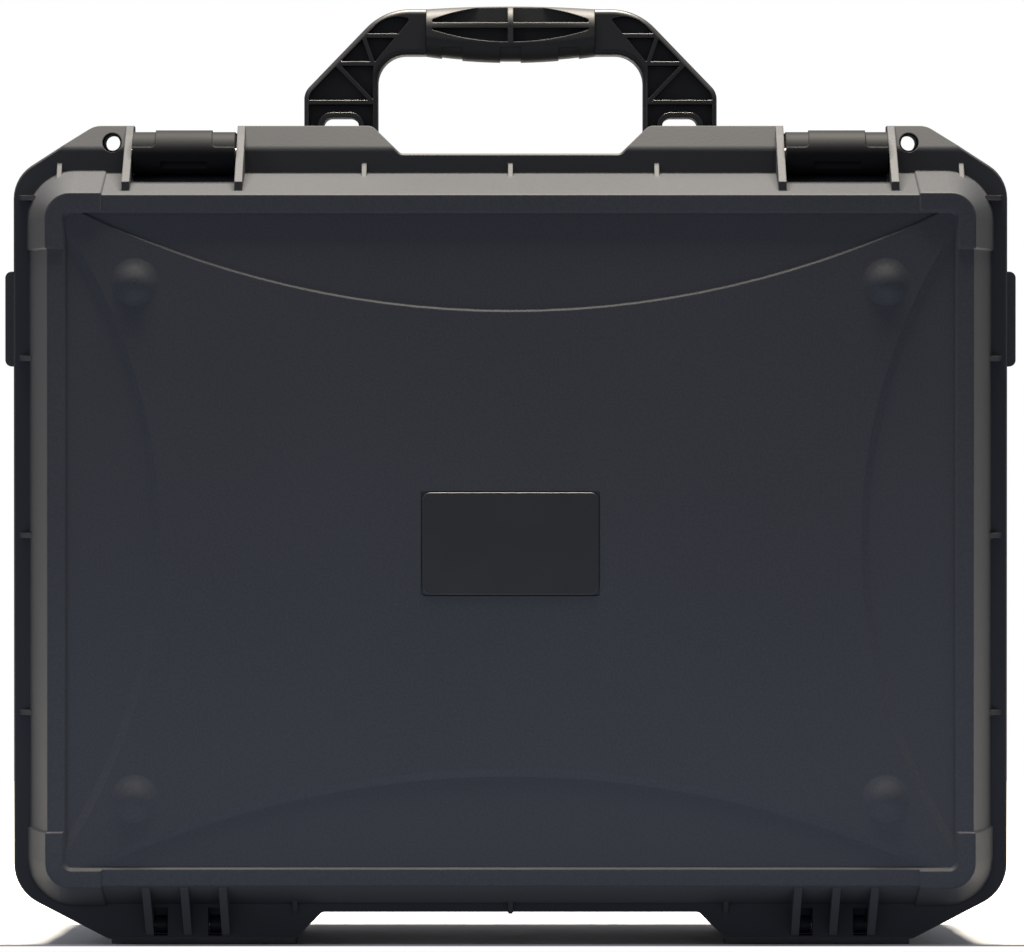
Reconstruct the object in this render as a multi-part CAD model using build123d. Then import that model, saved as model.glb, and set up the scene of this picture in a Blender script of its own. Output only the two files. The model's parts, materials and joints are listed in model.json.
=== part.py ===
from build123d import *
import os
from math import atan2, cos, degrees, hypot, radians, sin, sqrt, tan

# A hard carrying case for a games console, standing on its hinge side with the lid to the front.
# Millimetres. +X right, +Y from the lid to the base, +Z up. The origin is under the middle of the case.

# Shells
WALL_WIDTH = 437.8  # across the outside of the walls, where they meet the flange
WALL_HEIGHT = 332.4
WALL_CORNER = 21.0  # corner radius of the walls at the flange
WALL = 3.5
LID_DEPTH = 49.0  # parting plane to the front of the domes
BASE_DEPTH = 128.0  # parting plane to the back
LID_DRAFT = 15.7  # slope of the lid's walls in degrees
BASE_DRAFT = 4.3
FACE_ROUND = 0.8  # rounding between the lid's walls and its face
BACK_ROUND = 5.0

# Flange around both shells
FLANGE = 9.0  # thickness of each half
PART_GAP = 0.3
SIDE_LIP = 7.1  # how far the flange stands out from the walls
HEEL_LIP = 3.8
SADDLE_RISE = 9.1  # flange above the wall, under the handle
SADDLE_HALF = 50.0
SADDLE_RUN = 13.0
EAR_RISE = 21.9  # flange above the wall, beside the latches
SHOULDER_RUN = 36.6  # slanted top corners
SHOULDER_FALL = 23.6
BEVEL_RISE = 10.5  # slanted band at the top of the flange's high parts
BEVEL_RUN = 5.6
BEVEL_BLEND = 1.3  # from the band's lower corner to where its rounding starts
LIP_EDGE = 0.8  # chamfer along the flange's outline
HEEL_ROUND = 6.0  # corners of the outline, from the bottom up
HIP_ROUND = 20.0
SHOULDER_ROUND = 18.0
EAR_ROUND = 10.0
SADDLE_EDGE = 5.0
SADDLE_ROUND = 3.0

# Lid face
BORDER = 8.3
PANEL_CORNER = 2.5
STAR_DROP = 0.8  # star below the border
FIELD_DROP = 0.9  # fields outside the star below the star
PANEL_SLOPE = 45.0  # slope of the border's inner edge, in degrees from the face
TOP_ARC_REACH = 43.6  # how far the arcs come in from the panel's edges
LOW_ARC_REACH = 41.0
LONG_ARC_RADIUS = 440.0  # top and bottom arcs
SIDE_ARC_REACH = 38.8
SIDE_ARC_RADIUS = 251.0
CRISP_SLOPE = 45.0  # slope of the top arc's step
SOFT_SLOPE = 14.0  # slope of the other steps
DOME_WIDTH = 25.0
DOME_HEIGHT = 2.6
DOME_SINK = 0.1  # hollow foot runs out this far below the star
DOME_INSET = 31.0  # dome centres in from the panel's edges
PLATE_WIDTH = 79.3
PLATE_HEIGHT = 46.0
PLATE_CORNER = 3.6
PLATE_THICK = 1.0
PLATE_DROP = 0.6  # recess that the name plate sits in
PLATE_GAP = 0.5
PLATE_LOWER = 1.4  # plate's middle below the lid's
GUARD_REACH = 35.2  # corner guards along each wall
GUARD_WALL = 1.1  # guards proud of the walls
GUARD_FACE = 0.8  # guards proud of the face
GUARD_EDGE = 0.6
BASE_GUARD_DEPTH = 46.0

# Seal
GROOVE_WIDTH = 4.0
GROOVE_OUT = 0.5  # groove's outer edge outside the wall line
GROOVE_DEPTH = 5.0
GASKET_THICK = 3.0
GASKET_GAP = 0.2
TONGUE_GAP = 0.6
GROOVE_RIM = 2.0  # lid wall beside the groove

# Gussets between the walls and the flange
GUSSET = 2.2
GUSSET_RISE = 4.6
GUSSET_RUN = 7.0
TOP_GUSSETS = (0.0, 66.5)
CORNER_GUSSET = 21.0  # outermost gusset in from the flange's side
SIDE_GUSSETS = (11.2, 84.2, 164.7, 245.2)  # below the top of the wall

# Latches
LATCH_INSET = 78.1  # latch's middle in from the flange's side
LATCH_WIDTH = 46.2
LATCH_GAP = 0.55
LATCH_EAR = 3.5
LATCH_PIN_Y = 16.0  # pin in front of the parting plane
LATCH_PIN_RADIUS = 2.0
BARREL_RADIUS = 10.0
BARREL_SINK = 0.7  # barrel's underside below the top of the wall
BARREL_STEP = 0.8  # shoulders below the middle pad
BARREL_PAD = 25.6
BARREL_LEDGE = 2.0  # shoulders end this far above the pin
BARREL_CORNER = 2.0
BARREL_ROOM = 0.6
SLOT_WIDTH = 21.0
SLOT_HIGH = 3.0
SLOT_DEEP = 1.6
SLOT_FALL = 6.0
LEVER_UNDER = 3.6  # lever's underside above the pin
LEVER_LENGTH = 39.0
HOOK_ROOM = 0.7  # hook's inner face behind the base's flange
HOOK_THICK = 3.6
HOOK_FALL = 6.4
KEEPER_GAP = 0.3
KEEPER_LIP = 1.0
NOTCH_RISE = 9.6  # floor of the latch notch above the wall
EAR_NOSE = 4.2  # front end of a latch ear above the wall
EAR_NOSE_Y = 41.0

# Padlock holes
PADLOCK_INSET = 44.7  # in from the flange's side
PADLOCK_RISE = 14.1
PADLOCK_RADIUS = 3.5
SPOT_RADIUS = 4.4
SPOT_FLOOR = 4.2  # spot face in front of the parting plane

# Hinges
HINGE_INSET = 79.2  # hinge's middle in from the flange's side
HINGE_PITCH = 17.3  # between the lid's hinge ribs
HINGE_RIB = 3.6
HINGE_DROP = 10.0  # hinge pin below the wall
HINGE_PIN_RADIUS = 2.0
KNUCKLE_RADIUS = 4.0
LID_BOSS_RADIUS = 4.5
WINDOW_WIDTH = 6.2
WINDOW_HIGH = 8.2  # window's upper edge above the pin
KNUCKLE_GAP = 0.4
ARM_ANGLE = 30.0  # where the back of an arm leaves its round knuckle, in degrees
PIN_OVERHANG = 1.5
RUNNING = 0.08  # radial clearance of a pin that turns
SNUG = 0.02  # radial clearance of a pin that is held
PLATE_FALL = 16.0  # hinge plate below the wall
PLATE_INSET = 43.0  # hinge plate's end in from the flange's side
PLATE_LENGTH = 85.0
PLATE_ROUND = 3.0
PLATE_RUN_IN = 12.2
PLATE_RISE_OUT = 22.2

# Feet on the base
SWING_ROOM = 1.2  # front of the feet behind the lid's swing
FOOT_LENGTH = 86.0
FOOT_RIB = 3.0
FOOT_SOLE = 3.0
FOOT_RIBS = 4
PAD_THICK = 4.0
PAD_LENGTH = 20.0

# Handle
HANDLE_Y = 25.0  # pivot behind the parting plane
HANDLE_RISE = 11.1  # pivot above the wall
HANDLE_THICK = 20.0
HANDLE_OUTER = 94.6
HANDLE_INNER = 60.8
HANDLE_TOP = 65.1  # bar's top above the pivot
HANDLE_BAR = 21.0
HANDLE_KNEE = 27.1  # where the outside starts to slant, above the pivot
HANDLE_SLANT = 36.7
HANDLE_ROUND = 2.5
KNEE_ROUND = 8.0
BAR_END_ROUND = 28.0
CROTCH_ROUND = 13.0  # under the bar's ends
HANDLE_WEB = 4.0
HANDLE_RIM = 2.2
HANDLE_RIB = 2.0
RIB_OVER_FORK = 7.0
RIBS_UNDER_TOP = (25.0, 12.2)  # upper ribs below the bar's top
BRACE_ENDS = (0.4, 0.74)  # where the braces end, as shares of the slant
POCKET_ROUND = 1.0
POCKET_KNEE = 6.0
POCKET_TIP = 14.0
POCKET_BEND = 8.0
HANDLE_PIN_RADIUS = 2.5
FORK_WIDTH = 16.3
FORK_TOP = 15.4
FORK_CORNER = 4.0
FORK_RIM = 2.4
FORK_GAP = 0.4
LUG_RADIUS = 8.0
GRIP_HALF = 38.6
GRIP_THICK = 26.0
GRIP_CROWN = 1.5  # grip's middle above the bar's top
GRIP_BELLY = 3.0  # grip's middle below the bar's underside
GRIP_END = 0.2  # grip's ends proud of the bar
GRIP_ROUND = 9.0
CORE_COVER = 5.1  # grip above the core
CORE_FLOOR = 2.9
CORE_THICK = 11.0
LENS_END = 2.8  # lens in from the grip's ends
LENS_BLUNT = 6.0  # tips cut short by this
LENS_FALL = 7.5  # lens tips below the bar's top
LENS_BELLY = 7.6
LENS_CROWN = 9.4
LENS_DEEP = 6.0
LENS_RIB = 2.5
FINGER_PITCH = 26.8
FINGER_WIDTH = 9.4
FINGER_DEEP = 0.6

# Strap loops on the base's sides
LOOP_PROUD = 5.5  # beyond the flange
LOOP_BAR = 5.0
LOOP_Z = 100.3  # above the middle of the case
LOOP_HEIGHT = 43.5
LOOP_Y = 13.0
LOOP_THICK = 9.0
LOOP_CORNER = 3.0

# Back of the base
BACK_BORDER = 14.0
BACK_CORNER = 6.0
BACK_DROP = 1.2
DISH_WIDTH = 27.0
DISH_DROP = 1.6

# Pressure vent under the handle
VENT_Y = 24.0  # behind the parting plane
VENT_STEM = 5.5
VENT_CAP = 10.0
VENT_CAP_HIGH = 5.0
COIN_LENGTH = 13.0
COIN_WIDTH = 2.2
VENT_BOSS = 12.5
VENT_BOSS_RISE = 0.6
VENT_SEAL = 1.6
VENT_NUT = 5.0
VENT_NUT_FLATS = 15.0
VENT_SEAT = 2.0  # inner boss below the inside of the wall

# Foam
FOAM_GAP = 0.4
LID_FOAM_BACK = 0.8
FOAM_TOP = 1.3
BASE_PAD = 20.0
FOAM_WALL = 15.0  # between pockets
FOAM_EDGE = 26.0  # between the pockets and the walls
CONSOLE_HEIGHT = 172.0
SUPPLY_WIDTH = 70.8
SMALL_WIDTH = 39.8
POCKET_CORNER = 12.0

# Places that follow from these sizes
FRONT = -(LID_DEPTH + BASE_DEPTH) / 2
PART = FRONT + LID_DEPTH
BACK = PART + BASE_DEPTH
LID_FACE = FRONT + DOME_HEIGHT - STAR_DROP
LID_LIP = PART - FLANGE
BASE_TOP = PART + PART_GAP
BASE_LIP = BASE_TOP + FLANGE
LID_WALL_DEPTH = LID_LIP - LID_FACE
BASE_WALL_DEPTH = BACK - BASE_LIP
LID_SLOPE = tan(radians(LID_DRAFT))
BASE_SLOPE = tan(radians(BASE_DRAFT))

PLATE_LOW = PAD_THICK
WALL_LOW = PLATE_LOW + PLATE_FALL
WALL_HIGH = WALL_LOW + WALL_HEIGHT
MIDDLE = (WALL_LOW + WALL_HIGH) / 2
WALL_HALF = WALL_WIDTH / 2
FLANGE_HALF = WALL_HALF + SIDE_LIP
FLANGE_LOW = WALL_LOW - HEEL_LIP
SADDLE = WALL_HIGH + SADDLE_RISE
EAR_TOP = WALL_HIGH + EAR_RISE

FACE_INSET = LID_WALL_DEPTH * LID_SLOPE
FACE_HALF = WALL_HALF - FACE_INSET
PANEL_HALF = FACE_HALF - BORDER
PANEL_HALF_Z = WALL_HEIGHT / 2 - FACE_INSET - BORDER
DOME_X = PANEL_HALF - DOME_INSET
DOME_Z = PANEL_HALF_Z - DOME_INSET
NAME_Z = MIDDLE - PLATE_LOWER
STAR_FACE = LID_FACE + STAR_DROP
FIELD_FACE = STAR_FACE + FIELD_DROP
LID_INSIDE = FIELD_FACE + WALL
BASE_INSIDE = BACK - BACK_DROP - DISH_DROP - WALL

RIM_WALL = GROOVE_WIDTH - GROOVE_OUT + GROOVE_RIM

HINGE_X = FLANGE_HALF - HINGE_INSET
HINGE_Z = WALL_LOW - HINGE_DROP
PLATE_OUTER = FLANGE_HALF - PLATE_INSET
PLATE_INNER = PLATE_OUTER - PLATE_LENGTH
LATCH_X = FLANGE_HALF - LATCH_INSET
LATCH_Y = PART - LATCH_PIN_Y
LATCH_Z = WALL_HIGH + BARREL_RADIUS - BARREL_SINK
LATCH_HALF = LATCH_WIDTH / 2
NOTCH_HALF = LATCH_HALF + LATCH_GAP
NOTCH_FLOOR = WALL_HIGH + NOTCH_RISE
HOOK_REACH = LATCH_PIN_Y + PART_GAP + FLANGE + HOOK_ROOM
KEEPER_REACH = HOOK_REACH - KEEPER_GAP
PADLOCK_X = FLANGE_HALF - PADLOCK_INSET
PADLOCK_Z = WALL_HIGH + PADLOCK_RISE
PIVOT_Y = PART + HANDLE_Y
PIVOT_Z = WALL_HIGH + HANDLE_RISE
FORK_X = (HANDLE_INNER + HANDLE_OUTER) / 2
BAR_TOP = PIVOT_Z + HANDLE_TOP
BAR_LOW = BAR_TOP - HANDLE_BAR
CORE_LOW = BAR_LOW + CORE_FLOOR
CORE_HIGH = BAR_TOP - CORE_COVER
LENS_HALF = GRIP_HALF - LENS_END
LENS_TIP = LENS_HALF + LENS_BLUNT
LENS_Z = BAR_TOP - LENS_FALL
VENT_TOP = WALL_HIGH + VENT_BOSS_RISE
VENT_UNDER = WALL_HIGH - (PART + VENT_Y - BASE_LIP) * BASE_SLOPE - WALL - VENT_SEAT
FOAM_FLOOR = BASE_INSIDE - BASE_PAD
FOOT_FRONT = PART + hypot(FLANGE, HINGE_Z - PLATE_LOW) + SWING_ROOM
FOOT_BACK = FOOT_FRONT + FOOT_LENGTH
MARGIN = 1.0  # cutters and roots run this far past the faces that they meet
BURIED = 1.5  # depth that a moulded feature's root reaches into the wall


def facing_front(y):
    """Sketch plane across the case, with its normal to the front."""
    return Plane((0, y, 0), x_dir=(1, 0, 0), z_dir=(0, -1, 0))


def facing_back(y):
    """Sketch plane across the case, with its normal to the back."""
    return Plane((0, y, 0), x_dir=(-1, 0, 0), z_dir=(0, 1, 0))


def slab(sketch, front, back):
    """Solid of an X-Z sketch between two depths."""
    return extrude(facing_front(back) * sketch, amount=back - front)


def prism(sketch, left, right):
    """Solid of a Y-Z sketch between two places along X."""
    return extrude(Plane.YZ.offset(left) * sketch, amount=right - left)


def polygon(*points):
    return make_face(Polyline(*points, close=True))


def rounded_polygon(points, radii):
    return make_face(FilletPolyline(*points, radius=radii, close=True))


def rectangle(left, right, low, high, corner=0.0):
    """Rectangle by its limits, with rounded corners if a radius is given."""
    width = right - left
    height = high - low
    flat = RectangleRounded(width, height, corner) if corner else Rectangle(width, height)
    return Pos((left + right) / 2, (low + high) / 2) * flat


def rod(y, z, radius, left, right):
    """Cylinder along X."""
    return Pos((left + right) / 2, y, z) * Rot(0, 90, 0) * Cylinder(radius, right - left)


def bore(x, z, radius, front, back):
    """Cylinder along Y."""
    return Pos(x, (front + back) / 2, z) * Rot(90, 0, 0) * Cylinder(radius, back - front)


def mirrored(points):
    """Close an outline given by its right half, from the bottom up."""
    return [*points, *((-x, z) for x, z in reversed(points))]


def walls(grow=0.0):
    """Outline of the case's walls at the flange."""
    return rectangle(
        -WALL_HALF - grow,
        WALL_HALF + grow,
        WALL_LOW - grow,
        WALL_HIGH + grow,
        WALL_CORNER + grow,
    )


def lid_block(grow=0.0, past=0.0):
    """Solid inside the lid's sloping walls, with its front edge rounded."""
    block = extrude(facing_front(LID_LIP) * walls(grow), amount=LID_WALL_DEPTH + past, taper=LID_DRAFT)
    return fillet(block.faces().sort_by(Axis.Y)[0].edges(), FACE_ROUND)


def base_block(grow=0.0):
    """Solid inside the base's walls, with its back edge rounded."""
    block = extrude(facing_back(BASE_LIP) * walls(grow), amount=BASE_WALL_DEPTH, taper=BASE_DRAFT)
    return fillet(block.faces().sort_by(Axis.Y)[-1].edges(), BACK_ROUND)


def corners(front, back):
    """Four blocks that pick out the corners of the case."""
    inner_x = WALL_HALF - GUARD_REACH
    inner_z = WALL_HEIGHT / 2 - GUARD_REACH
    reach = GUARD_REACH + SIDE_LIP
    corner = Rectangle(reach, reach)
    places = [
        (side * (inner_x + reach / 2), MIDDLE + level * (inner_z + reach / 2))
        for side in (-1, 1)
        for level in (-1, 1)
    ]
    return slab(Sketch() + [Pos(x, z) * corner for x, z in places], front, back)


def flange_outline(hinge_plates):
    """Outline of the flange. The lid's has plates that come down over the hinges."""
    heel_x = PLATE_OUTER + (FLANGE_HALF - PLATE_OUTER) * (FLANGE_LOW - PLATE_LOW) / PLATE_RISE_OUT
    plate = [
        (PLATE_INNER - PLATE_RUN_IN, FLANGE_LOW),
        (PLATE_INNER, PLATE_LOW),
        (PLATE_OUTER, PLATE_LOW),
    ]
    plate_radii = [PLATE_ROUND, PLATE_ROUND, HEEL_ROUND]
    heel = plate if hinge_plates else [(heel_x, FLANGE_LOW)]
    heel_radii = plate_radii if hinge_plates else [HEEL_ROUND]
    upper = [
        (FLANGE_HALF, PLATE_LOW + PLATE_RISE_OUT),
        (FLANGE_HALF, EAR_TOP - SHOULDER_FALL),
        (FLANGE_HALF - SHOULDER_RUN, EAR_TOP),
        (SADDLE_HALF + SADDLE_RUN, EAR_TOP),
        (SADDLE_HALF, SADDLE),
    ]
    upper_radii = [HIP_ROUND, SHOULDER_ROUND, EAR_ROUND, SADDLE_EDGE, SADDLE_ROUND]
    radii = heel_radii + upper_radii
    return rounded_polygon(mirrored(heel + upper), radii + radii[::-1])


def flange_notch(side, front, back):
    """Room for a latch in the flange."""
    x = side * LATCH_X
    return slab(rectangle(x - NOTCH_HALF, x + NOTCH_HALF, NOTCH_FLOOR, EAR_TOP + MARGIN), front, back)


def gussets(lip, step, slope, heel):
    """Small fins between the walls and the flange. step is -1 on the lid and 1 on the base."""
    tip = lip + step * GUSSET_RUN
    root = BURIED + GUSSET_RUN * slope
    upright = polygon((lip, WALL_HIGH - root), (lip, WALL_HIGH + GUSSET_RISE), (tip, WALL_HIGH - root))
    hanging = polygon((lip, WALL_LOW + root), (lip, WALL_LOW - GUSSET_RISE), (tip, WALL_LOW + root))
    fins = []
    top = (*TOP_GUSSETS, FLANGE_HALF - CORNER_GUSSET)
    for x in sorted({side * x for x in top for side in (-1, 1)}):
        fins.append(prism(upright, x - GUSSET / 2, x + GUSSET / 2))
    for x in sorted({side * x for x in heel for side in (-1, 1)}):
        fins.append(prism(hanging, x - GUSSET / 2, x + GUSSET / 2))
    for side in (-1, 1):
        inner = side * (WALL_HALF - root)
        outer = side * (WALL_HALF + GUSSET_RISE)
        fin = polygon((inner, lip), (outer, lip), (inner, tip))
        for fall in SIDE_GUSSETS:
            fins.append(extrude(Plane.XY.offset(WALL_HIGH - fall - GUSSET / 2) * fin, amount=GUSSET))
    return fins


def padlock_holes(front, back):
    return [bore(side * PADLOCK_X, PADLOCK_Z, PADLOCK_RADIUS, front, back) for side in (-1, 1)]


def panel():
    """Panel inside the border of the lid's face."""
    low = MIDDLE - PANEL_HALF_Z
    high = MIDDLE + PANEL_HALF_Z
    return rectangle(-PANEL_HALF, PANEL_HALF, low, high, PANEL_CORNER)


def arc_cutter(x, z, radius, slope):
    """Wide cone that sinks a field of the panel. It opens to the front at a slope from the face."""
    deep = FIELD_FACE - FRONT + MARGIN
    cone = Cone(radius, radius + deep / tan(radians(slope)), deep)
    return Pos(x, FIELD_FACE - deep / 2, z) * Rot(90, 0, 0) * cone


def star_fields():
    """Fields between the panel's edges and the four arcs of the star."""
    sunk = slab(panel(), FRONT - MARGIN, FIELD_FACE)
    top = PANEL_HALF_Z - TOP_ARC_REACH + LONG_ARC_RADIUS
    low = PANEL_HALF_Z - LOW_ARC_REACH + LONG_ARC_RADIUS
    side = PANEL_HALF - SIDE_ARC_REACH + SIDE_ARC_RADIUS
    return [
        sunk & arc_cutter(0, MIDDLE + top, LONG_ARC_RADIUS, CRISP_SLOPE),
        sunk & arc_cutter(0, MIDDLE - low, LONG_ARC_RADIUS, SOFT_SLOPE),
        sunk & arc_cutter(-side, MIDDLE, SIDE_ARC_RADIUS, SOFT_SLOPE),
        sunk & arc_cutter(side, MIDDLE, SIDE_ARC_RADIUS, SOFT_SLOPE),
    ]


def dome(x, z):
    """Round boss on the star, whose curved top runs out in a hollow foot."""
    run = DOME_WIDTH / 4
    fall = (DOME_HEIGHT + DOME_SINK) / 2
    turn = 2 * degrees(atan2(fall, run))
    radius = run / sin(radians(turn))
    crown = JernArc((0, 2 * fall), (1, 0), radius, -turn)
    foot = JernArc(crown @ 1, crown % 1, radius, turn)
    under = Polyline(foot @ 1, (2 * run, -BURIED), (0, -BURIED), crown @ 0)
    upright = Plane((x, STAR_FACE + DOME_SINK, z), x_dir=(1, 0, 0), z_dir=(0, 0, -1))
    return revolve(upright * make_face(crown + foot + under), Axis((x, STAR_FACE, z), (0, 1, 0)))


def lid_guards():
    """Caps over the lid's four corners, with chamfered ends."""
    caps = lid_block(GUARD_WALL, GUARD_FACE) & corners(FRONT - MARGIN, LID_LIP)
    ends = caps.faces().filter_by(Axis.X) + caps.faces().filter_by(Axis.Z)
    rims = ends.edges().filter_by(Axis.Y, reverse=True)
    return chamfer(rims.filter_by_position(Axis.Y, FRONT, LID_LIP - GUARD_EDGE), GUARD_EDGE)


def lid_wall_high(y):
    """Height of the lid's top wall at a depth."""
    return WALL_HIGH - (LID_LIP - y) * LID_SLOPE


def latch_ears(side):
    """Pair of upright ears that carry a latch pin on the lid."""
    nose_y = PART - EAR_NOSE_Y
    nose = lid_wall_high(nose_y)
    ear = polygon(
        (PART, WALL_HIGH - BURIED),
        (PART, EAR_TOP),
        (LID_LIP + BEVEL_RUN, EAR_TOP),
        (nose_y, nose + EAR_NOSE),
        (nose_y, nose - BURIED),
        (LID_LIP, WALL_HIGH - BURIED),
    )
    ears = []
    for hand in (-1, 1):
        inner = side * LATCH_X + hand * NOTCH_HALF
        outer = inner + hand * LATCH_EAR
        ears.append(prism(ear, min(inner, outer), max(inner, outer)))
    return ears


def hinge_ribs(side):
    """Three ribs under the lid, each with a round boss for the hinge pin."""
    face_low = WALL_LOW + FACE_INSET
    nose_y = LID_FACE + FACE_ROUND + BURIED
    rib = polygon(
        (nose_y, face_low + BURIED),
        (nose_y, face_low - BURIED),
        (LID_LIP, PLATE_LOW + BURIED),
        (LID_LIP + BURIED, PLATE_LOW + BURIED),
        (LID_LIP + BURIED, WALL_LOW + BURIED),
        (LID_LIP, WALL_LOW + BURIED),
    )
    ribs = []
    for step in (-1, 0, 1):
        x = side * HINGE_X + step * HINGE_PITCH
        ribs.append(prism(rib, x - HINGE_RIB / 2, x + HINGE_RIB / 2))
        ribs.append(rod(PART, HINGE_Z, LID_BOSS_RADIUS, x - HINGE_RIB / 2, x + HINGE_RIB / 2))
    return ribs


def hinge_windows(side):
    """Limits along X of the two windows of a hinge, each against the inner side of an outer rib."""
    spans = []
    for hand in (-1, 1):
        outer = side * HINGE_X + hand * (HINGE_PITCH - HINGE_RIB / 2)
        inner = outer - hand * WINDOW_WIDTH
        spans.append((min(inner, outer), max(inner, outer)))
    return spans


def pin_span(side):
    """Limits along X of a hinge pin."""
    half = HINGE_PITCH + HINGE_RIB / 2 + PIN_OVERHANG
    return side * HINGE_X - half, side * HINGE_X + half


def make_lid_shell():
    lid = lid_block()
    lid += lid_guards()
    opening = STAR_FACE - FRONT + MARGIN
    lid -= extrude(facing_front(STAR_FACE) * panel(), amount=opening, taper=PANEL_SLOPE - 90)
    lid -= star_fields()
    lid += [dome(side * DOME_X, MIDDLE + level * DOME_Z) for side in (-1, 1) for level in (-1, 1)]
    recess = rectangle(
        -PLATE_WIDTH / 2 - PLATE_GAP,
        PLATE_WIDTH / 2 + PLATE_GAP,
        NAME_Z - PLATE_HEIGHT / 2 - PLATE_GAP,
        NAME_Z + PLATE_HEIGHT / 2 + PLATE_GAP,
    )
    lid -= slab(recess, FRONT - MARGIN, STAR_FACE + PLATE_DROP)

    flange = slab(flange_outline(hinge_plates=True), LID_LIP, PART)
    flange = chamfer(flange.faces().sort_by(Axis.Y)[0].edges(), LIP_EDGE)
    band_low = EAR_TOP - BEVEL_RISE
    band = Line((LID_LIP, band_low), (LID_LIP + BEVEL_RUN, EAR_TOP))
    bend = TangentArc(
        (LID_LIP, band_low - BEVEL_BLEND), band @ (BEVEL_BLEND / band.length), tangent=(0, 1)
    )
    outside = Polyline(
        bend @ 1,
        band @ 1,
        (LID_LIP + BEVEL_RUN, EAR_TOP + MARGIN),
        (LID_LIP - MARGIN, EAR_TOP + MARGIN),
        (LID_LIP - MARGIN, band_low - BEVEL_BLEND),
        bend @ 0,
    )
    flange -= prism(make_face(bend + outside), -FLANGE_HALF, FLANGE_HALF)
    for side in (-1, 1):
        flange -= flange_notch(side, LID_LIP - MARGIN, PART + MARGIN)
        x = side * LATCH_X
        flange -= rod(LATCH_Y, LATCH_Z, BARREL_RADIUS + BARREL_ROOM, x - NOTCH_HALF, x + NOTCH_HALF)
    lid += flange

    lid += gussets(LID_LIP, -1, LID_SLOPE, heel=(0.0, PLATE_INNER))
    for side in (-1, 1):
        lid += latch_ears(side)
        lid += hinge_ribs(side)

    inside = extrude(
        facing_front(PART) * walls(FLANGE * LID_SLOPE - WALL),
        amount=PART - LID_INSIDE,
        taper=LID_DRAFT,
    )
    inside &= slab(walls(-RIM_WALL), LID_INSIDE - MARGIN, PART)
    lid -= inside
    groove = walls(GROOVE_OUT) - walls(GROOVE_OUT - GROOVE_WIDTH)
    lid -= slab(groove, PART - GROOVE_DEPTH, PART)

    lid -= padlock_holes(LID_LIP - MARGIN, PART + MARGIN)
    for side in (-1, 1):
        lid -= bore(side * PADLOCK_X, PADLOCK_Z, SPOT_RADIUS, LID_LIP - MARGIN, PART - SPOT_FLOOR)
        ear = NOTCH_HALF + LATCH_EAR + MARGIN
        x = side * LATCH_X
        lid -= rod(LATCH_Y, LATCH_Z, LATCH_PIN_RADIUS + SNUG, x - ear, x + ear)
        for left, right in hinge_windows(side):
            low = HINGE_Z - KNUCKLE_RADIUS - KNUCKLE_GAP
            window = rectangle(left, right, low, HINGE_Z + WINDOW_HIGH)
            lid -= slab(window, LID_LIP - MARGIN, PART + MARGIN)
        left, right = pin_span(side)
        lid -= rod(PART, HINGE_Z, HINGE_PIN_RADIUS + RUNNING, left - KNUCKLE_GAP, right + KNUCKLE_GAP)
    return lid


def make_gasket():
    ring = walls(GROOVE_OUT - GASKET_GAP) - walls(GROOVE_OUT - GROOVE_WIDTH + GASKET_GAP)
    return slab(ring, PART - GROOVE_DEPTH, PART - GROOVE_DEPTH + GASKET_THICK)


def make_name_plate():
    face = Pos(0, NAME_Z) * RectangleRounded(PLATE_WIDTH, PLATE_HEIGHT, PLATE_CORNER)
    seat = STAR_FACE + PLATE_DROP
    plate = slab(face, seat - PLATE_THICK, seat)
    return chamfer(plate.faces().sort_by(Axis.Y)[0].edges(), PLATE_THICK / 4)


def make_lid_foam():
    pad = extrude(
        facing_front(PART) * walls(FLANGE * LID_SLOPE - WALL - FOAM_GAP),
        amount=PART - LID_INSIDE,
        taper=LID_DRAFT,
    )
    return pad & slab(walls(-RIM_WALL - FOAM_GAP), LID_INSIDE, PART - LID_FOAM_BACK)


def base_wall_high(y):
    """Height of the base's top wall at a depth."""
    return WALL_HIGH - (y - BASE_LIP) * BASE_SLOPE


def base_inside(gap=0.0):
    """Space inside the base's walls, or a solid that fills it with a gap all round."""
    deep = extrude(
        facing_back(BASE_LIP) * walls(-WALL - gap),
        amount=BASE_INSIDE - BASE_LIP,
        taper=BASE_DRAFT,
    )
    return deep + slab(walls(-WALL - gap), PART - GROOVE_DEPTH, BASE_LIP)


def post(radius, low, high):
    """Upright cylinder on the vent's axis."""
    return Pos(0, PART + VENT_Y, (low + high) / 2) * Cylinder(radius, high - low)


def keeper(side):
    """Bar behind the base's flange for a latch's hook, round about the latch pin."""
    x = side * LATCH_X
    bar = slab(
        rectangle(x - NOTCH_HALF, x + NOTCH_HALF, WALL_HIGH - BURIED, NOTCH_FLOOR),
        BASE_TOP,
        BASE_LIP + KEEPER_LIP,
    )
    return bar & rod(LATCH_Y, LATCH_Z, KEEPER_REACH, x - NOTCH_HALF, x + NOTCH_HALF)


def handle_lug(side):
    """Lug between the two prongs of a handle leg."""
    half = FORK_WIDTH / 2 - FORK_GAP
    root = base_wall_high(PIVOT_Y) - BURIED
    stem = rectangle(PIVOT_Y - LUG_RADIUS, PIVOT_Y + LUG_RADIUS, root, PIVOT_Z)
    outline = stem + Pos(PIVOT_Y, PIVOT_Z) * Circle(LUG_RADIUS)
    return prism(outline, side * FORK_X - half, side * FORK_X + half)


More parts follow.
